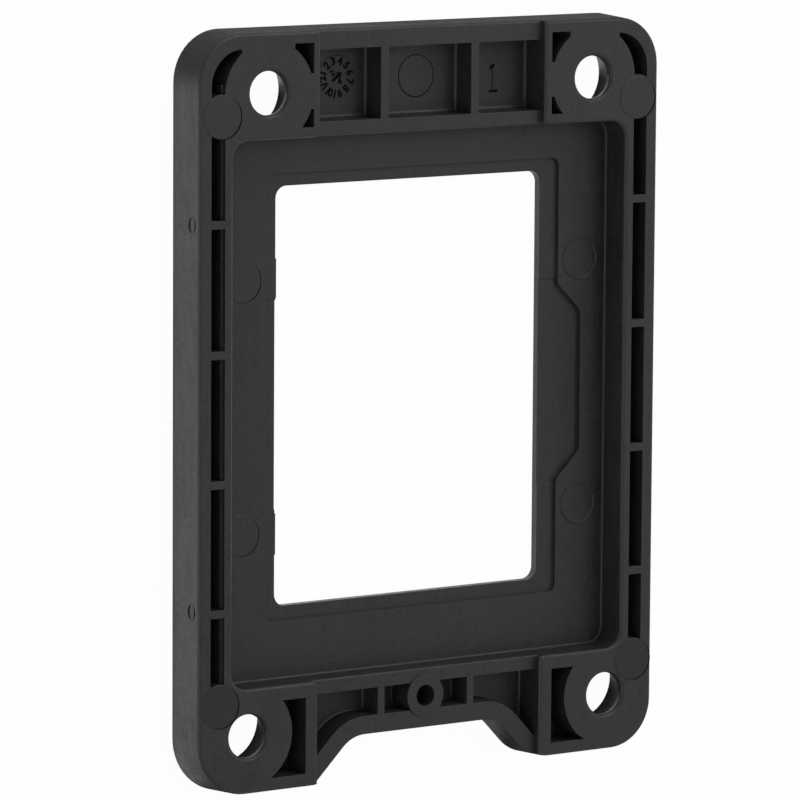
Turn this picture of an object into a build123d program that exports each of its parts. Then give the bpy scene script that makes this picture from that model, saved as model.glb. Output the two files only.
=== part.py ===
"""Retention frame for a server processor: one moulded plastic frame, ribbed mounting side up.

Millimetres. X is the width, Y the height as mounted, Z the thickness. The flat cover face lies
at Z = 0 and the ribbed mounting side looks up.
"""
import os

from build123d import *

os.makedirs("parts", exist_ok=True)

# Outer body
WIDTH = 76.8
HEIGHT = 104.2
DEPTH = 6.3
CORNER_R = 7.0
LOW_LEFT_R = 8.0
DRAFT = 3.4
COVER_ROUND = 0.3
RIM_ROUND = 0.45
BAR_OUTER_ROUND = 0.4
BAR_INNER_ROUND = 0.25
OVERCUT = 3.0

# Levels above the cover face
BAR_DROP = 1.1
FLOOR = 1.7
RECESS_STEP = 0.5
DIP_STEP = 0.15
BAR_TOP = DEPTH - BAR_DROP
RECESS_FLOOR = FLOOR - RECESS_STEP
DIP_FLOOR = RECESS_FLOOR - DIP_STEP

# Screw holes with a counterbore from the cover side, measured from the outer edges
BORE_R = 3.0
BORE_ROUND = 0.5
SEAT_R = 5.5
SEAT_TOP = 5.35
BOSS_R = 7.1
TOP_HOLE = (WIDTH / 2 - 11.5, HEIGHT / 2 - 8.5)
LOW_HOLE = (WIDTH / 2 - 8.4, 8.3 - HEIGHT / 2)
LOW_SEAT_SHIFT = 1.0

# Corner blocks and their core-outs, measured from the screw holes
BLOCK_X = TOP_HOLE[0] - 8.3
BLOCK_CORNER_R = 0.8
BLOCK_WALL = 1.15
LOW_BLOCK_WALL = 2.05
TOP_CORE_WIDTH = 3.1
TOP_CORE_BELOW = 4.85
TOP_CORE_ABOVE = 6.55
TOP_CORE_SPLIT = 4.8
LOW_CORE_ABOVE = 4.45
LOW_CORE_BELOW = 6.15
CRESCENT_WALL = 2.4
CRESCENT_R = 5.0
CRESCENT_END = TOP_HOLE[0] + 4.4

# Notch in the lower edge, measured from that edge and from the blocks
NOTCH_DEPTH = 6.43
NOTCH_Y = NOTCH_DEPTH - HEIGHT / 2
NOTCH_LEFT_FOOT = -0.2 - BLOCK_X
NOTCH_LEFT = NOTCH_LEFT_FOOT + 6.5
NOTCH_RIGHT_FOOT = BLOCK_X - 0.5
NOTCH_RIGHT = NOTCH_RIGHT_FOOT - 6.1
NOTCH_R = 5.0
LEFT_FOOT_R = 2.0
RIGHT_FOOT_R = 6.5
NOTCH_WALL = 2.55

# Tray that takes the processor package
RAIL_WIDTH = 5.8
BAR_WIDTH = 14.8
TRAY_HALF_X = WIDTH / 2 - RAIL_WIDTH
TRAY_HALF_Y = HEIGHT / 2 - BAR_WIDTH
TRAY_R = 2.4
TRAY_FLOOR_R = 0.3

# Window and the stepped recess around it, measured from the tray's walls
WINDOW_LEFT = 10.0 - TRAY_HALF_X
WINDOW_RIGHT = TRAY_HALF_X - 11.1
WINDOW_LOW = 10.0 - TRAY_HALF_Y
WINDOW_HIGH = TRAY_HALF_Y - 6.85
WINDOW_R = 1.7
RECESS_HALF = TRAY_HALF_X - 8.2
RECESS_LOW = 8.0 - TRAY_HALF_Y
RECESS_HIGH = TRAY_HALF_Y - 5.1
RECESS_R = 1.2
BUMP_OUT = 4.0
BUMP_HIGH = 14.4
BUMP_LOW = -13.3
BUMP_R = 1.5
DIP_HIGH = 15.2
DIP_LOW = -13.85
EDGE_PAD_PROUD = 0.15
EDGE_PAD_HEIGHT = 5.7
EDGE_PAD_Y = (17.75, -17.25)

# Rails at the sides
RAIL_WALL = 1.35
CHANNEL_WIDTH = 2.2
RAIL_RIB = 1.1
RAIL_RIB_PITCH = 17.6
RAIL_RIB_CENTRE = -0.15
RAIL_RIBS = 4
LEDGE_WIDTH = 0.3
LEDGE_DROP = 0.6
LEDGE_REACH = 1.4
CHANNEL_IN = TRAY_HALF_X + RAIL_WALL
CHANNEL_OUT = CHANNEL_IN + CHANNEL_WIDTH
PAD_R = 3.0
TOP_PAD = (WIDTH / 2 - 3.9, TRAY_HALF_Y + 3.45)
LOW_PAD = (WIDTH / 2 - 3.7, -TRAY_HALF_Y - 1.9)

# Bars at top and bottom
BAR_WALL = 2.0
TOP_BAR_WALL = 3.0
RIB_SHARE = 0.403
BAR_RIB_X = RIB_SHARE * BLOCK_X
TOP_RIB = 1.27
LOW_RIB = 1.1
TOP_POCKET_R = 0.45
LOW_POCKET_R = 0.3
POCKET_DRAFT = 2.0

# Pilot boss in the lower bar, standing between the bar's wall and the notch's wall
PILOT_HIGH = -TRAY_HALF_Y - BAR_WALL
PILOT_LOW = NOTCH_Y + NOTCH_WALL
PILOT = (-0.2, (PILOT_HIGH + PILOT_LOW) / 2)
PILOT_OVERLAP = 1.1
PILOT_BOSS_R = (PILOT_HIGH - PILOT_LOW) / 2 + PILOT_OVERLAP
PILOT_R = 1.5
PILOT_PROUD = 0.2


def prism(shape, low, high):
    """Straight solid over a flat shape, between two levels."""
    return extrude(Pos(0, 0, low) * shape, amount=high - low)


def box_between(x0, x1, y0, y1):
    """Flat rectangle given by its limits."""
    return Pos((x0 + x1) / 2, (y0 + y1) / 2) * Rectangle(abs(x1 - x0), abs(y1 - y0))


def disc(centre, radius):
    """Flat disc."""
    return Pos(*centre) * Circle(radius)


def both_sides(shape):
    """A shape together with its mirror image in the YZ plane."""
    return shape + mirror(shape, Plane.YZ)


def pocket(shape, top, floor_r, draft=POCKET_DRAFT):
    """Cutting solid that narrows toward a floor with a small concave rounding all round."""
    tool = Part() + extrude(Pos(0, 0, top) * shape, amount=-(top - FLOOR), taper=draft)
    return fillet(tool.edges().filter_by_position(Axis.Z, FLOOR - 0.01, FLOOR + 0.01), floor_r)


def edges_at(solid, level):
    """Edges of a solid that lie flat at one level."""
    return solid.edges().filter_by_position(Axis.Z, level - 0.001, level + 0.001)


def notch(extra=0.0):
    """Region cut away at the lower edge, grown outward by a wall thickness."""
    foot = -HEIGHT / 2
    low = foot - 2 * OVERCUT
    run = (low - NOTCH_Y) / (foot - NOTCH_Y)
    left = (NOTCH_LEFT + run * (NOTCH_LEFT_FOOT - NOTCH_LEFT), low)
    right = (NOTCH_RIGHT + run * (NOTCH_RIGHT_FOOT - NOTCH_RIGHT), low)
    region = make_face(Polyline(left, right, (NOTCH_RIGHT, NOTCH_Y), (NOTCH_LEFT, NOTCH_Y), close=True))
    region = fillet(region.vertices().group_by(Axis.Y)[-1], NOTCH_R)
    return offset(region, extra) if extra else region


def foot_edge(solid, x):
    """Upright edge where a flank of the notch meets the lower side."""
    near = solid.edges().filter_by(lambda e: abs(e.length - DEPTH) < 0.5)
    return near.sort_by_distance((x, -HEIGHT / 2, DEPTH / 2))[0]


def contour():
    """Outer contour at the cover face, one lower corner rounder than the rest."""
    shape = Rectangle(WIDTH, HEIGHT)
    low_left = shape.vertices().sort_by_distance((-WIDTH / 2, -HEIGHT / 2))
    shape = fillet(low_left[0], LOW_LEFT_R)
    rest = [v for v in shape.vertices() if v.X > 0 and abs(v.Y) > HEIGHT / 2 - 1 or v.Y > HEIGHT / 2 - 1]
    rest = [v for v in rest if abs(v.X) > WIDTH / 2 - 1]
    return fillet(rest, CORNER_R)


def body():
    """Tapered block with the notch, the tray, the set-back bars and all rims rounded."""
    block = Part() + extrude(contour(), amount=DEPTH, taper=DRAFT)
    block -= prism(notch(), -OVERCUT, DEPTH + OVERCUT)
    block = fillet(foot_edge(block, NOTCH_LEFT_FOOT), LEFT_FOOT_R)
    block = fillet(foot_edge(block, NOTCH_RIGHT_FOOT), RIGHT_FOOT_R)
    block = fillet(edges_at(block, 0), COVER_ROUND)
    block -= pocket(RectangleRounded(2 * TRAY_HALF_X, 2 * TRAY_HALF_Y, TRAY_R), DEPTH, TRAY_FLOOR_R, 0)
    for side in (1, -1):
        gap = box_between(-BLOCK_X, BLOCK_X, side * (TRAY_HALF_Y - BLOCK_CORNER_R), side * HEIGHT)
        block -= prism(gap, BAR_TOP, DEPTH + OVERCUT)
    corners = block.edges().filter_by(Axis.Z).filter_by(lambda e: abs(abs(e.center().X) - BLOCK_X) < 0.01)
    corners = corners.filter_by(lambda e: abs(abs(e.center().Y) - TRAY_HALF_Y) < 0.01)
    block = fillet(corners, BLOCK_CORNER_R)
    block = fillet(edges_at(block, DEPTH), RIM_ROUND)
    upper = edges_at(block, BAR_TOP).sort_by(Axis.Y)[-1]
    block = fillet(upper, BAR_OUTER_ROUND)
    middle = edges_at(block, BAR_TOP).filter_by(lambda e: abs(e.center().X) < 1)
    inner = middle.filter_by(lambda e: abs(abs(e.center().Y) - TRAY_HALF_Y) < 0.1)
    return fillet(inner, BAR_INNER_ROUND)


def recess():
    """Stepped recess around the window, with the wider part on the right."""
    reach = RECESS_HALF + BUMP_OUT
    corners = [
        (-RECESS_HALF, RECESS_LOW),
        (RECESS_HALF, RECESS_LOW),
        (RECESS_HALF, BUMP_LOW),
        (reach, BUMP_LOW + BUMP_OUT),
        (reach, BUMP_HIGH - BUMP_OUT),
        (RECESS_HALF, BUMP_HIGH),
        (RECESS_HALF, RECESS_HIGH),
        (-RECESS_HALF, RECESS_HIGH),
    ]
    shape = make_face(Polyline(*corners, close=True))
    plain = [v for v in shape.vertices() if v.Y < RECESS_LOW + 1 or v.Y > RECESS_HIGH - 1]
    shape = fillet(plain, RECESS_R)
    bumped = [v for v in shape.vertices() if v.X > RECESS_HALF - 0.01 and BUMP_LOW - 1 < v.Y < BUMP_HIGH + 1]
    return fillet(bumped, BUMP_R)


def window():
    """Opening through the cover, with two slight pads on its left edge."""
    shape = box_between(WINDOW_LEFT, WINDOW_RIGHT, WINDOW_LOW, WINDOW_HIGH)
    shape = fillet(shape.vertices(), WINDOW_R)
    edge = WINDOW_LEFT + EDGE_PAD_PROUD
    for y in EDGE_PAD_Y:
        shape -= box_between(WINDOW_LEFT - 1, edge, y - EDGE_PAD_HEIGHT / 2, y + EDGE_PAD_HEIGHT / 2)
    return shape


def channel():
    """Right rail's channel between the two pads, less its cross ribs."""
    shape = box_between(CHANNEL_IN, CHANNEL_OUT, LOW_PAD[1], TOP_PAD[1])
    shape -= disc(TOP_PAD, PAD_R) + disc(LOW_PAD, PAD_R)
    for i in range(RAIL_RIBS):
        y = RAIL_RIB_CENTRE + (i - (RAIL_RIBS - 1) / 2) * RAIL_RIB_PITCH
        shape -= box_between(CHANNEL_IN - 1, CHANNEL_OUT + 1, y - RAIL_RIB / 2, y + RAIL_RIB / 2)
    return shape


def crescent():
    """Right top block's slot between the rounded corner and the screw boss."""
    corner = RectangleRounded(2 * CHANNEL_OUT, HEIGHT - 2 * CRESCENT_WALL, CRESCENT_R)
    shape = corner & box_between(CRESCENT_END, WIDTH, TOP_PAD[1], HEIGHT)
    return shape - disc(TOP_HOLE, BOSS_R) - disc(TOP_PAD, PAD_R)


def top_core():
    """Right top block's pair of three-sided core-outs beside the screw boss."""
    left = BLOCK_X + BLOCK_WALL
    mid = TOP_HOLE[1]
    shape = box_between(left, left + TOP_CORE_WIDTH, mid - TOP_CORE_BELOW, mid + TOP_CORE_ABOVE)
    shape -= box_between(0, WIDTH, mid - TOP_CORE_SPLIT / 2, mid + TOP_CORE_SPLIT / 2)
    return shape - disc(TOP_HOLE, BOSS_R)


def low_core():
    """Right bottom block's core-out beside the screw boss."""
    mid = LOW_HOLE[1]
    left = BLOCK_X + LOW_BLOCK_WALL
    shape = box_between(left, LOW_HOLE[0], mid - LOW_CORE_BELOW, mid + LOW_CORE_ABOVE)
    return shape - disc(LOW_HOLE, BOSS_R)


def ledge():
    """Narrow step low in the right channel, along its tray side, from the lower pad past the boss."""
    return box_between(CHANNEL_IN, CHANNEL_IN + LEDGE_WIDTH, LOW_PAD[1], TOP_HOLE[1] + LEDGE_REACH)


def bar_ribs(thickness):
    """Cross ribs of one bar."""
    rib = box_between(BAR_RIB_X - thickness / 2, BAR_RIB_X + thickness / 2, -HEIGHT, HEIGHT)
    return both_sides(rib)


def top_bar_pockets():
    """Three pockets in the top bar."""
    shape = box_between(-BLOCK_X, BLOCK_X, TRAY_HALF_Y + BAR_WALL, HEIGHT / 2 - TOP_BAR_WALL)
    return shape - bar_ribs(TOP_RIB)


def low_bar_pockets():
    """Pockets in the lower bar, following the notch at an even wall."""
    shape = box_between(-BLOCK_X, BLOCK_X, -TRAY_HALF_Y - BAR_WALL, -HEIGHT / 2)
    shape -= notch(NOTCH_WALL)
    return shape - bar_ribs(LOW_RIB) - disc(PILOT, PILOT_BOSS_R)


def bore(centre, seat_shift=0.0):
    """Screw hole with a rounded rim, and its counterbore from the cover side."""
    wide = BORE_R + BORE_ROUND
    start = DEPTH - BORE_ROUND
    high = DEPTH + OVERCUT
    edge = CenterArc((wide, start), BORE_ROUND, 180, -90)
    rest = Polyline((wide, DEPTH), (wide, high), (0, high), (0, 0), (BORE_R, 0), (BORE_R, start))
    shaft = revolve(Plane.XZ * make_face(edge + rest), Axis.Z)
    seat = prism(disc((0, seat_shift), SEAT_R), -OVERCUT, SEAT_TOP)
    return Pos(*centre) * (shaft + seat)


def frame():
    """The whole moulded frame."""
    solid = body()
    solid -= prism(recess(), RECESS_FLOOR, DEPTH)
    dip = recess() & box_between(-WIDTH, WIDTH, DIP_LOW, DIP_HIGH)
    solid -= prism(dip, DIP_FLOOR, DEPTH)
    solid -= prism(window(), -OVERCUT, DEPTH)
    for shape in (channel(), crescent(), top_core(), low_core()):
        for face in both_sides(Sketch() + shape).faces():
            solid -= prism(face, FLOOR, DEPTH + OVERCUT)
    for face in both_sides(Sketch() + ledge()).faces():
        solid += prism(face, FLOOR, DEPTH - LEDGE_DROP)
    for shape, floor_r in ((top_bar_pockets(), TOP_POCKET_R), (low_bar_pockets(), LOW_POCKET_R)):
        for face in shape.faces():
            solid -= pocket(face, BAR_TOP, floor_r)
    solid += prism(disc(PILOT, PILOT_BOSS_R), FLOOR, BAR_TOP + PILOT_PROUD)
    solid -= prism(disc(PILOT, PILOT_R), FLOOR, DEPTH)
    for side in (1, -1):
        solid -= bore((side * TOP_HOLE[0], TOP_HOLE[1]))
        solid -= bore((side * LOW_HOLE[0], LOW_HOLE[1]), LOW_SEAT_SHIFT)
    return solid


part = frame()
part.label = "retention_frame"
export_step(part, "parts/retention_frame.step")
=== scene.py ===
from math import cos, pi, radians, sin

import bmesh
import bpy
from mathutils import Matrix, Vector


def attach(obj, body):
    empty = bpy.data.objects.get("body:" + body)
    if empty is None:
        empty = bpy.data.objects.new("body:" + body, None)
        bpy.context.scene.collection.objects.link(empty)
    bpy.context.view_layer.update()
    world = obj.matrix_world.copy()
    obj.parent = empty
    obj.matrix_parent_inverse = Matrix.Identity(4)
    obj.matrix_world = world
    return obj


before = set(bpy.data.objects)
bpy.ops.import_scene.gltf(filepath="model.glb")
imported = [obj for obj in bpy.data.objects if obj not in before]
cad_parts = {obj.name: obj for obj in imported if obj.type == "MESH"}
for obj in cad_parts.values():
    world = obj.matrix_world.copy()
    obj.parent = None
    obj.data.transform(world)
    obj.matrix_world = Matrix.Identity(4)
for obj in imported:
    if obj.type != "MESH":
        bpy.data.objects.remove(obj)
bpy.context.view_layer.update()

MM = 0.001
RIM_TOP = 6.3 * MM       # height of the ribbed rim
TRAY_FLOOR = 1.7 * MM    # height of the tray and of the bar pockets' bottoms
WHITE = (1.0, 1.0, 1.0, 1.0)
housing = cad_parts["retention_frame"]


# Shader expressions

class Wire:
    """A shader socket that can be used in plain arithmetic."""

    def __init__(self, tree, socket):
        self.tree, self.socket = tree, socket

    def maths(self, operation, *values, clamp=False):
        node = self.tree.nodes.new("ShaderNodeMath")
        node.operation, node.use_clamp = operation, clamp
        for slot, value in zip(node.inputs, values):
            plug(self.tree, slot, value)
        return Wire(self.tree, node.outputs[0])

    def __add__(self, other):
        return self.maths("ADD", self, other)

    def __radd__(self, other):
        return self.maths("ADD", other, self)

    def __sub__(self, other):
        return self.maths("SUBTRACT", self, other)

    def __rsub__(self, other):
        return self.maths("SUBTRACT", other, self)

    def __mul__(self, other):
        return self.maths("MULTIPLY", self, other)

    def __rmul__(self, other):
        return self.maths("MULTIPLY", other, self)

    def __pow__(self, power):
        return self.maths("POWER", self, power)

    def absolute(self):
        return self.maths("ABSOLUTE", self)

    def at_least(self, limit):
        return self.maths("MAXIMUM", self, limit)

    def clamped(self):
        return self.maths("ADD", self, 0.0, clamp=True)

    def past(self, line, slope):
        """A mask that is 0 up to a line and rises to 1 after it."""
        return ((self - line) * slope).clamped()

    def before(self, line, slope):
        """A mask that falls to 0 at a line and stays 0 after it."""
        return ((line - self) * slope).clamped()


def plug(tree, slot, value):
    """Links a wire to a socket, or sets a plain value on it."""
    if isinstance(value, Wire):
        tree.links.new(value.socket, slot)
    else:
        slot.default_value = value


class Finish:
    """The nodes of a material, or of the world, as they are set out."""

    def __init__(self, owner):
        owner.use_nodes = True
        self.tree = owner.node_tree
        self.tree.nodes.clear()

    def node(self, kind, settings=None, sockets=None, out=0):
        """Sets out one node and gives the output that is asked for, if it has any."""
        made = self.tree.nodes.new(kind)
        for name, value in (settings or {}).items():
            setattr(made, name, value)
        for name, value in (sockets or {}).items():
            plug(self.tree, made.inputs[name], value)
        return Wire(self.tree, made.outputs[out]) if len(made.outputs) else None


# The frame's plastic

GRAIN_DEPTH = 0.05 * MM
EDGE_RADIUS = 0.1 * MM
DRAWN = (1.0, 0.15, 1.0)          # stretches the streaks along the frame's height
DARK_TINT = (0.4, 0.4, 0.4)       # the darkest and the palest of the plastic, as shares
PALE_TINT = (1.6, 1.6, 1.63)      # of the colour that it is given


def tinted(colour, tint):
    return (*(part * share for part, share in zip(colour, tint)), 1.0)


def moulded_plastic(name, colour, rough, grain, sheen):
    """Black glass-filled plastic: cloudy and streaked, with the fine grain of a spark-eroded
    mould, and its edges a little paler, partly as rubbed wear and partly as a painted highlight
    on their roundings."""
    material = bpy.data.materials.new(name)
    plastic = Finish(material)

    def noise(where, scale, detail, roughness):
        return plastic.node("ShaderNodeTexNoise", sockets={
            "Vector": where, "Scale": scale, "Detail": detail, "Roughness": roughness})

    place = plastic.node("ShaderNodeTexCoord", out="Object")
    drawn = plastic.node("ShaderNodeMapping", sockets={"Vector": place, "Scale": DRAWN})
    clouds = noise(place, 90.0, 4.0, 0.55)
    streaks = noise(drawn, 900.0, 4.0, 0.65)
    mottle = noise(place, 1400.0, 5.0, 0.7)
    texture = noise(place, 3400.0, 4.0, 0.7)
    soft = plastic.node("ShaderNodeBevel", {"samples": 6}, {"Radius": EDGE_RADIUS})
    flat = plastic.node("ShaderNodeNewGeometry", out="Normal")
    turned = plastic.node("ShaderNodeVectorMath", {"operation": "DOT_PRODUCT"},
                          {0: soft, 1: flat}, out="Value")
    # Paler along the edges: partly rubbed wear, partly a painted highlight where the rounded
    # edges catch the light.
    edge = ((1.0 - turned) * 4.0).clamped()

    # Every noise has its middle at 0.5, so 0.75 keeps the roughness round the one asked for.
    shade = clouds * 0.4 + streaks * 0.5 + mottle * 0.9 + texture * 0.7 - 0.7 + edge * 0.07
    roughness = rough - 0.75 + clouds * 0.28 + streaks * 0.36 + mottle * 0.52 + texture * 0.34
    height = texture * 0.8 + mottle * 0.8 + streaks * 0.5
    colours = plastic.node(
        "ShaderNodeMix", {"data_type": "RGBA"},
        {0: shade.clamped(), 6: tinted(colour, DARK_TINT), 7: tinted(colour, PALE_TINT)}, out=2)
    bump = plastic.node("ShaderNodeBump", sockets={
        "Strength": grain, "Distance": GRAIN_DEPTH, "Height": height, "Normal": soft})
    shader = plastic.node("ShaderNodeBsdfPrincipled", {"distribution": "GGX"}, {
        "Base Color": colours, "Roughness": roughness.clamped(), "Normal": bump,
        "Specular IOR Level": sheen})
    plastic.node("ShaderNodeOutputMaterial", sockets={"Surface": shader})
    return material


# Camera at the photograph's angle

PHOTO_SIDE = 800.0                     # width and height of the photograph in pixels
PHOTO_LENS = 5997.754                  # focal length and shift in those pixels
PHOTO_SHIFT = (-0.25, 0.25)
PHOTO_TURN = ((-34.419, "Y"), (-7.683, "X"), (0.373, "Z"))    # degrees, one after the other
PHOTO_STAND = (-0.879, -0.548, 830.5)  # place in mm, along the camera's own axes
SENSOR = 36.0


def photo_camera():
    """A long lens from the left and a little above."""
    turn = Matrix.Identity(3)
    for degrees, axis in PHOTO_TURN:
        turn = turn @ Matrix.Rotation(radians(degrees), 3, axis)
    data = bpy.data.cameras.new("photo_camera")
    data.sensor_width = SENSOR
    data.lens = PHOTO_LENS * SENSOR / PHOTO_SIDE
    data.shift_x, data.shift_y = (pixels / PHOTO_SIDE for pixels in PHOTO_SHIFT)
    data.clip_start, data.clip_end = 0.05, 20.0
    camera = bpy.data.objects.new("photo_camera", data)
    bpy.context.scene.collection.objects.link(camera)
    camera.matrix_world = turn.to_4x4()
    camera.location = turn @ (Vector(PHOTO_STAND) * MM)
    bpy.context.scene.camera = camera


# Studio

SOFTBOX = 0.5      # side of every lamp
LAMPS = (          # name, place, power
    ("key_top", (0.41, 0.41, 0.82), 1.4),
    ("key_right", (0.91, 0.0, 0.42), 0.8),
    ("fill_left", (-0.79, -0.2, 0.56), 1.3),
    ("fill_far", (0.3, 0.83, 0.46), 2.5),
    ("fill_low", (0.5, -0.75, 0.43), 0.6))
AIR = 0.41         # strength of the world on the frame; the camera sees it at 1
PAPER = (0.9, 0.9, 0.9, 1.0)
FLOOR_SIDE = 6.0
FLOOR_DROP = 0.02 * MM    # keeps the floor clear of the cover face that lies on it

# Places on the floor, in metres, at which the painted light and shade in its glow, as the
# plastic's sheen mirrors it, change
LEFT_EDGE, RIGHT_EDGE = -0.0335, 0.0345
FAR_EDGE, FAR_END = 0.0435, 0.062
LOW_BAR, LOW_EDGE, LOW_END = -0.037, -0.049, -0.0478
CORNER_BLOCKS = 0.0205                 # the blocks with the holes lie farther out than this
# The gloom and the glint of a row are painted shade and painted light in the floor's glow.
HOLE_ROWS = ((0.0436, 1.0, 2.8), (-0.0438, 0.3, 1.6))    # middle, gloom and glint of each
GLOOM_LOW, GLOOM_TOP, GLINT_TOP = -0.0075, 0.0011, 0.0048    # from a row's middle
CORNER_X, CORNER_Y = 0.0304, 0.0441    # middles of the frame's rounded corners
FOOT_RADIUS, FOOT_HALF = 0.0075, 0.0005    # the line it stands on, and half its width


def floor_tone(x, y):
    """How light the floor glows where the plastic's sheen mirrors it: light and shade painted
    into the glow by place, not cast by the lamps. It is lightest beside the left edge and dim
    past the others. Under the frame it falls off towards the lower bar. Each row of screw holes
    has a strip of painted shade with a painted glint above it, and the line on which the frame
    stands has a painted dark contact shadow."""
    far = y.past(FAR_EDGE, 220.0) * 0.93 - y.past(FAR_END, 30.0) * 0.7
    low = y.before(LOW_BAR, 150.0)
    lowest = y.before(LOW_EDGE, 300.0)
    right = x.past(RIGHT_EDGE, 400.0)
    left = x.before(LEFT_EDGE, 400.0) * (1.0 - y.before(LOW_END, 180.0) * 0.75)

    under = 1.2 - low * 0.8 - lowest * 0.3
    corners = x.absolute().past(CORNER_BLOCKS, 1500.0)
    # Painted shade below each row of holes and a painted glint above it, for the walls of the
    # holes to mirror.
    for row, gloom, glint in HOLE_ROWS:
        below = y.past(row + GLOOM_LOW, 800.0) * y.before(row + GLOOM_TOP, 600.0)
        above = y.past(row, 600.0) * y.before(row + GLINT_TOP, 2000.0)
        under = under + (above * glint - below * gloom) * corners
    under = under.at_least(0.05)

    across = (x.absolute() - CORNER_X).at_least(0.0)
    along = (y.absolute() - CORNER_Y).at_least(0.0)
    outline = (across * across + along * along) ** 0.5
    # Painted contact shadow: a dark line in the floor's glow where the frame stands on it.
    foot = (1.0 - ((outline - FOOT_RADIUS).absolute() - FOOT_HALF) * 3000.0).clamped()

    beside = under + (1.3 - under) * left
    return beside * (1.0 - far * 0.76) * (1.0 - right * 0.85) * (1.0 - foot * 0.8)


def white_floor():
    """A floor that the camera sees white, with a faint shadow, and that the plastic's sheen
    sees glowing with painted light and shade.
    """
    alone()
    bpy.ops.mesh.primitive_plane_add(size=FLOOR_SIDE, location=(0, 0, -FLOOR_DROP))
    ground = bpy.context.object
    ground.name = "ground"
    sweep = bpy.data.materials.new("white_sweep")
    finish = Finish(sweep)
    camera = finish.node("ShaderNodeLightPath", out="Is Camera Ray")
    glossy = finish.node("ShaderNodeLightPath", out="Is Glossy Ray")
    through = finish.node("ShaderNodeLightPath", out="Is Transmission Ray")
    place = finish.node("ShaderNodeTexCoord", out="Object")
    x = finish.node("ShaderNodeSeparateXYZ", sockets={"Vector": place}, out="X")
    y = finish.node("ShaderNodeSeparateXYZ", sockets={"Vector": place}, out="Y")
    seen = (camera * 0.97 + glossy * 0.95 + through * 0.97).clamped()
    # Camera rays see the glow plain white; glossy and transmission rays see it with the painted
    # light and shade set by place.
    level = camera + (1.0 - camera) * floor_tone(x, y)
    paper = finish.node("ShaderNodeBsdfDiffuse", sockets={"Color": PAPER})
    glow = finish.node("ShaderNodeEmission", sockets={"Color": WHITE, "Strength": level})
    mixed = finish.node("ShaderNodeMixShader", sockets={0: seen, 1: paper, 2: glow})
    finish.node("ShaderNodeOutputMaterial", sockets={"Surface": mixed})
    ground.data.materials.append(sweep)


def white_air():
    """An even light from all round, which the camera sees white."""
    world = bpy.data.worlds.new("studio_world")
    air = Finish(world)
    camera = air.node("ShaderNodeLightPath", out="Is Camera Ray")
    back = air.node("ShaderNodeBackground", sockets={
        "Color": WHITE, "Strength": camera * (1.0 - AIR) + AIR})
    air.node("ShaderNodeOutputWorld", sockets={"Surface": back})
    bpy.context.scene.world = world


def lamps():
    """Softboxes round the frame, all turned to its middle."""
    for name, place, power in LAMPS:
        data = bpy.data.lights.new(name, "AREA")
        data.size, data.energy = SOFTBOX, power
        softbox = bpy.data.objects.new(name, data)
        bpy.context.scene.collection.objects.link(softbox)
        softbox.location = place
        softbox.rotation_euler = (-Vector(place)).to_track_quat("-Z", "Y").to_euler()


# Shaping by hand

ALONG_X, ALONG_Y = Vector((1, 0, 0)), Vector((0, 1, 0))
SQUARE_ON = 0.9    # the part of its normal along an axis by which a face looks that way


def alone():
    bpy.ops.object.select_all(action="DESELECT")


def pick(test):
    """In edit mode, selects the faces that pass the test."""
    bpy.ops.mesh.select_mode(type="FACE")
    bpy.ops.mesh.select_all(action="DESELECT")
    mesh = bmesh.from_edit_mesh(bpy.context.object.data)
    for face in mesh.faces:
        if test(face):
            face.select_set(True)
    bmesh.update_edit_mesh(bpy.context.object.data)


def upward(face):
    return face.normal.z > SQUARE_ON


def step(width, rise):
    """Insets the selected face and moves it up or down."""
    bpy.ops.mesh.inset(thickness=width)
    bpy.ops.transform.translate(value=(0, 0, rise))


def pull(x=0.0, y=0.0, z=0.0):
    """Extrudes the selected faces that way."""
    bpy.ops.mesh.extrude_region_move(TRANSFORM_OT_translate={"value": (x, y, z)})


def cut(axis, *places):
    """Cuts the whole piece square to an axis, at each place along it."""
    for place in places:
        bpy.ops.mesh.select_all(action="SELECT")
        bpy.ops.mesh.bisect(plane_co=axis * place, plane_no=axis)


def block(centre, size):
    """A plain block, left in edit mode to be shaped."""
    alone()
    bpy.ops.mesh.primitive_cube_add(size=1.0, location=centre)
    made = bpy.context.object
    made.scale = size
    bpy.ops.object.transform_apply(location=True, rotation=True, scale=True)
    bpy.ops.object.mode_set(mode="EDIT")
    return made


def settle(piece, name, finish):
    """Names a finished piece, bakes its place into its mesh and ties it to the frame."""
    alone()
    piece.select_set(True)
    bpy.context.view_layer.objects.active = piece
    bpy.ops.object.transform_apply(location=True, rotation=True, scale=True)
    piece.name = piece.data.name = name
    piece.data.materials.clear()
    piece.data.materials.append(finish)
    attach(piece, "root")
    return piece


def repeat(pieces, name, across, along, finish=None):
    """Copies finished pieces to another place, each copy with its own mesh. A gap keeps its
    painted shadow finish."""
    for piece in pieces:
        part = "_gap" if piece.name.endswith("_gap") else ""
        copied = piece.copy()
        copied.data = piece.data.copy()
        bpy.context.scene.collection.objects.link(copied)
        copied.location = (across, along, 0)
        same = part or finish is None
        settle(copied, name + part, piece.data.materials[0] if same else finish)


# Witnesses of the ejector pins, some with a gap of painted shadow beside them. Each step is the
# width of a ring and its rise.

SUNK = 0.25 * MM       # depth of a witness, nearly all of it in the plastic
PROUD = 0.004 * MM     # what of it stands out of the face
CLEAR = 0.003 * MM     # how much farther a disc stands out than its gap
PROUD_DISC = [(0.08 * MM, 0.06 * MM)]
FLASH_RING = [(0.08 * MM, 0.11 * MM), (0.05 * MM, 0.0), (0.1 * MM, -0.1 * MM)]
GAP = [(0.12 * MM, 0.001 * MM)]
BAR_DISC = [(0.06 * MM, 0.02 * MM)]
DIAL_DISC = [(0.02 * MM, 0.001 * MM)]


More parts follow.
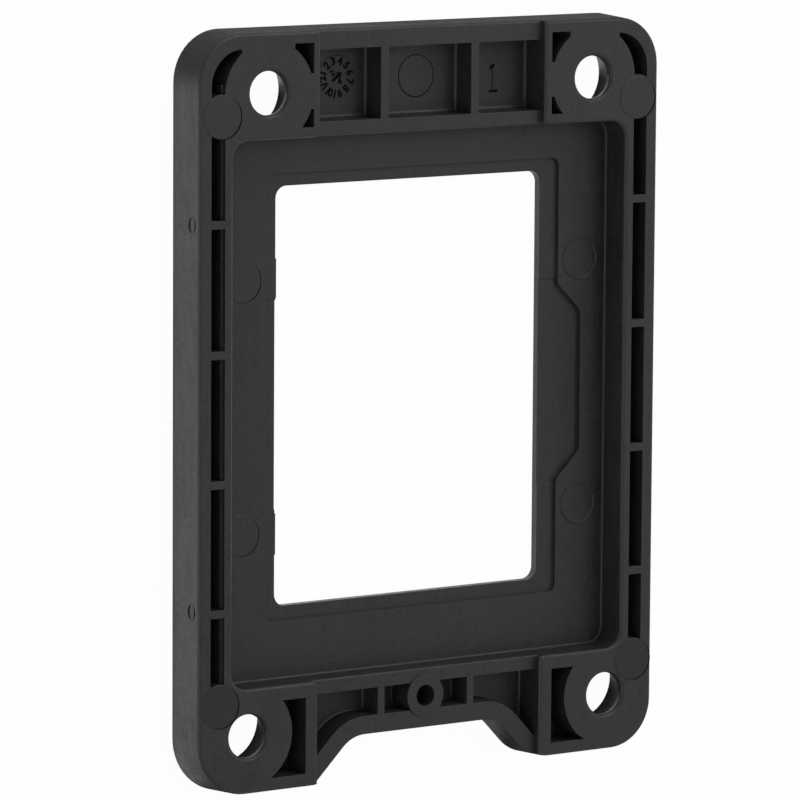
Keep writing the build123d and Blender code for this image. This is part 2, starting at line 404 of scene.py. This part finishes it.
def pin_mark(name, centre, radius, steps, finish):
    """The round witness of a pin: a cylinder sunk in the face, its top stepped ring by ring."""
    x, y, face = centre
    alone()
    bpy.ops.mesh.primitive_cylinder_add(
        vertices=96, radius=radius, depth=SUNK, location=(x, y, face + PROUD - SUNK / 2))
    piece = bpy.context.object
    bpy.ops.object.mode_set(mode="EDIT")
    pick(upward)
    for width, rise in steps:
        step(width, rise)
    bpy.ops.object.mode_set(mode="OBJECT")
    return settle(piece, name, finish)


def worn_pin(name, centre, radius, steps, finish, shadow, lean):
    """A pin's witness, with a disc of painted shadow under it, set off so that a crescent of
    painted shade shows in the gap on the side it leans away from.
    """
    x, y, face = centre
    gap = pin_mark(name + "_gap", (x + lean[0], y + lean[1], face), radius, GAP, shadow)
    return gap, pin_mark(name, (x, y, face + CLEAR), radius, steps, finish)


# The two trimmed gates on the left side

GATE_HEIGHT = 4.6 * MM
GATE_SUNK = 0.4 * MM    # depth of an oval, nearly all of it in the side
GATE_STEP = (0.1 * MM, 0.001 * MM)
GATE_GAP = (0.84, 1.08), 0.0, 0.002 * MM       # half sizes in mm, shift, what stands out
GATE_OVAL = (0.5, 1.08), 0.09 * MM, 0.006 * MM
RIDGE_LEFT, RIDGE_RIGHT, RIDGE_REACH = 0.15 * MM, 0.37 * MM, 0.6 * MM
RIDGE_HEIGHT = 0.09 * MM


def gate_oval(halves, shift, proud):
    """A low oval with a faint step round its top, left in edit mode at the origin."""
    alone()
    bpy.ops.mesh.primitive_cylinder_add(
        vertices=48, radius=MM, depth=GATE_SUNK, location=(0, 0, proud - GATE_SUNK / 2))
    oval = bpy.context.object
    oval.scale = (*halves, 1.0)
    oval.location.x = shift
    bpy.ops.object.transform_apply(location=True, rotation=True, scale=True)
    bpy.ops.object.mode_set(mode="EDIT")
    pick(upward)
    step(*GATE_STEP)
    return oval


def torn_ridge():
    """Pulls a narrow ridge out of the oval's top, beside its middle."""
    def on_ridge(face):
        middle = face.calc_center_median()
        return (upward(face) and RIDGE_LEFT < middle.x < RIDGE_RIGHT
                and abs(middle.y) < RIDGE_REACH)

    cut(ALONG_X, RIDGE_LEFT, RIDGE_RIGHT)
    pick(on_ridge)
    pull(z=RIDGE_HEIGHT)
    bpy.ops.transform.resize(value=(0.6, 0.8, 1.0))


def gate_scar(name, y, finish, shadow):
    """A trimmed gate: an oval with a torn ridge, in a wider oval of painted shadow whose sides
    show as dark arcs of painted shade, laid on the side of the frame.
    """
    _, seat, normal, _ = housing.ray_cast(Vector((-0.05, y, GATE_HEIGHT)), ALONG_X)

    def lay(piece, part, material):
        bpy.ops.object.mode_set(mode="OBJECT")
        piece.rotation_mode = "QUATERNION"
        piece.rotation_quaternion = Vector((0, 0, 1)).rotation_difference(normal)
        piece.location = seat
        return settle(piece, name + part, material)

    gap = lay(gate_oval(*GATE_GAP), "_gap", shadow)
    oval = gate_oval(*GATE_OVAL)
    torn_ridge()
    return gap, lay(oval, "", finish)


# The figure one in the upper bar

def cavity_number(finish, shadow):
    """A raised figure one: a stem cut near its ends, with the flag and the foot pulled out of
    its sides. All but a line along the stem has the painted shadow finish, so that only that
    line looks lit."""
    left, right, bottom, top = 12.82 * MM, 13.22 * MM, 41.8 * MM, 45.7 * MM
    foot_top, flag_bottom = bottom + 0.38 * MM, top - 0.5 * MM
    lit_bottom, lit_half = bottom + 0.4 * MM, 0.1 * MM
    middle = (left + right) / 2
    height, proud = 0.3 * MM, 0.1 * MM

    piece = block((middle, (bottom + top) / 2, TRAY_FLOOR + proud - height / 2),
                  (right - left, top - bottom, height))
    cut(ALONG_Y, foot_top, flag_bottom)
    cut(ALONG_X, middle - lit_half, middle + lit_half)
    for side in (-1, 1):
        pick(lambda face: (face.normal.x * side > SQUARE_ON
                           and face.calc_center_median().y < foot_top))
        pull(x=side * 0.5 * MM)
    pick(lambda face: (face.normal.x < -SQUARE_ON
                       and face.calc_center_median().y > flag_bottom))
    pull(x=-0.42 * MM, y=-0.32 * MM)
    bpy.ops.object.mode_set(mode="OBJECT")
    soften = piece.modifiers.new("soft_edges", "BEVEL")
    soften.width, soften.segments = 0.05 * MM, 2
    bpy.ops.object.modifier_apply(modifier="soft_edges")

    settle(piece, "cavity_number", finish)
    piece.data.materials.append(shadow)
    # Painted shade: every face but the line in the middle of the stem takes the painted shadow
    # finish.
    for face in piece.data.polygons:
        x, y, _ = face.center
        lit = lit_bottom < y < flag_bottom and abs(x - middle) <= lit_half
        face.material_index = 0 if lit else 1


# The month dial in the upper bar

DIAL_X, DIAL_Y, DIAL_RADIUS = -13.1 * MM, 44.92 * MM, 2.98 * MM
MONTH_SIZE, MONTH_RADIUS = 1.5 * MM, 2.2 * MM
YEAR_SIZE, YEAR_RADIUS = 1.25 * MM, 0.85 * MM
SECOND_MONTH = 134       # degrees round the dial, at which the 2 stands
MONTH_PITCH = 30
YEAR = (("2", 140), ("4", -50))    # digit, degrees round the dial
FIGURE_THICK, FIGURE_BOLD = 0.03 * MM, 0.065 * MM
YEAR_TURN, ARROW_TURN = 30, 38    # degrees


def dial_figure(body, size, angle, radius, turn):
    """One small figure on the dial, as a thin mesh."""
    alone()
    bpy.ops.object.text_add(location=(0, 0, 0))
    figure = bpy.context.object
    figure.data.body = body
    figure.data.size = size
    figure.data.align_x = figure.data.align_y = "CENTER"
    figure.data.extrude = FIGURE_THICK
    figure.data.offset = FIGURE_BOLD
    figure.data.resolution_u = 3
    bpy.ops.object.convert(target="MESH")
    figure = bpy.context.object
    figure.rotation_euler = (0, 0, turn)
    figure.location = (DIAL_X + radius * cos(angle), DIAL_Y + radius * sin(angle), TRAY_FLOOR)
    return figure


def dial_arrow():
    """The dial's arrow: a stem with its head pulled out of one end."""
    arrow = block((-0.25 * MM, 0, 0), (1.2 * MM, 0.42 * MM, 2 * FIGURE_THICK))
    pick(lambda face: face.normal.x > SQUARE_ON)
    pull(x=0.02 * MM)
    bpy.ops.transform.resize(value=(1.0, 2.8, 1.0))
    pull(x=0.62 * MM)
    bpy.ops.transform.resize(value=(1.0, 0.08, 1.0))
    bpy.ops.object.mode_set(mode="OBJECT")
    arrow.rotation_euler = (0, 0, radians(ARROW_TURN))
    arrow.location = (DIAL_X, DIAL_Y, TRAY_FLOOR)
    return arrow


def date_insert(plain, shadow):
    """The dial: a disc with twelve months, tops outwards, and two year figures by an arrow; the
    figures and the arrow are dark with painted shade.
    """
    worn_pin("date_insert", (DIAL_X, DIAL_Y, TRAY_FLOOR), DIAL_RADIUS, DIAL_DISC,
             plain, shadow, (-0.06 * MM, 0.06 * MM))
    marks = []
    for month in range(1, 13):
        angle = radians(SECOND_MONTH - MONTH_PITCH * (month - 2))
        marks.append(dial_figure(str(month), MONTH_SIZE, angle, MONTH_RADIUS, angle - pi / 2))
    for digit, degrees in YEAR:
        marks.append(dial_figure(
            digit, YEAR_SIZE, radians(degrees), YEAR_RADIUS, radians(YEAR_TURN)))
    marks.append(dial_arrow())
    alone()
    for mark in marks:
        mark.select_set(True)
    bpy.context.view_layer.objects.active = marks[0]
    bpy.ops.object.join()
    # Painted shade: the figures and the arrow take the painted shadow finish, so that they show
    # dark.
    settle(bpy.context.object, "date_figures", shadow)


# All that the mould left on the frame, with painted shadow in the gaps and on the figures

def mould_marks(plain, darker_plastic, shadow):
    pad = worn_pin("upper_pad_left", (-34.48 * MM, 40.75 * MM, RIM_TOP), 3.0 * MM,
                   PROUD_DISC, plain, shadow, (0.2 * MM, -0.09 * MM))
    repeat(pad, "upper_pad_right", 69.0 * MM, -0.25 * MM)
    repeat(pad, "lower_pad_left", -0.2 * MM, -80.0 * MM, darker_plastic)
    repeat(pad, "lower_pad_right", 69.16 * MM, -80.0 * MM, darker_plastic)
    pin = worn_pin("upper_tray_pin_left", (-28.2 * MM, 17.8 * MM, TRAY_FLOOR), 2.9 * MM,
                   PROUD_DISC, plain, shadow, (0.14 * MM, -0.06 * MM))
    repeat(pin, "lower_tray_pin_left", -0.2 * MM, -34.75 * MM)
    pin = pin_mark("upper_tray_pin_right", (28.15 * MM, 17.8 * MM, TRAY_FLOOR), 2.98 * MM,
                   FLASH_RING, plain)
    repeat([pin], "lower_tray_pin_right", 0, -34.75 * MM)
    # Painted shadow: a dark disc under the bar pin, showing as a thin ring of painted shade
    # round it.
    pin_mark("bar_pin_gap", (0, 44.6 * MM, TRAY_FLOOR), 2.97 * MM, GAP, shadow)
    pin_mark("bar_pin", (0.01 * MM, 44.61 * MM, TRAY_FLOOR + 2 * CLEAR), 2.86 * MM,
             BAR_DISC, plain)
    scar = gate_scar("upper_gate_scar", 26.25 * MM, plain, shadow)
    repeat(scar, "lower_gate_scar", 0, -52.45 * MM)
    cavity_number(plain, shadow)
    date_insert(plain, shadow)


photo_camera()
white_floor()
white_air()
lamps()
bpy.context.scene.view_settings.view_transform = "Standard"
black = moulded_plastic("black_moulded_plastic", (0.017, 0.017, 0.0174), 0.46, 0.85, 0.5)
# A darker, rougher plastic with less sheen, given to the lower pads.
darker_plastic = moulded_plastic("darker_black_plastic", (0.014, 0.014, 0.0143), 0.52, 0.85, 0.42)
# A near-black, rough plastic with little sheen, used only as painted shadow: in the gaps by the
# pin witnesses and the gate scars, on the dial's figures and on the sides of the figure one.
painted_shadow_plastic = moulded_plastic("painted_shadow_black_plastic", (0.002, 0.002, 0.00205), 0.85, 0.6, 0.12)
housing.data.materials.clear()
housing.data.materials.append(black)
mould_marks(black, darker_plastic, painted_shadow_plastic)
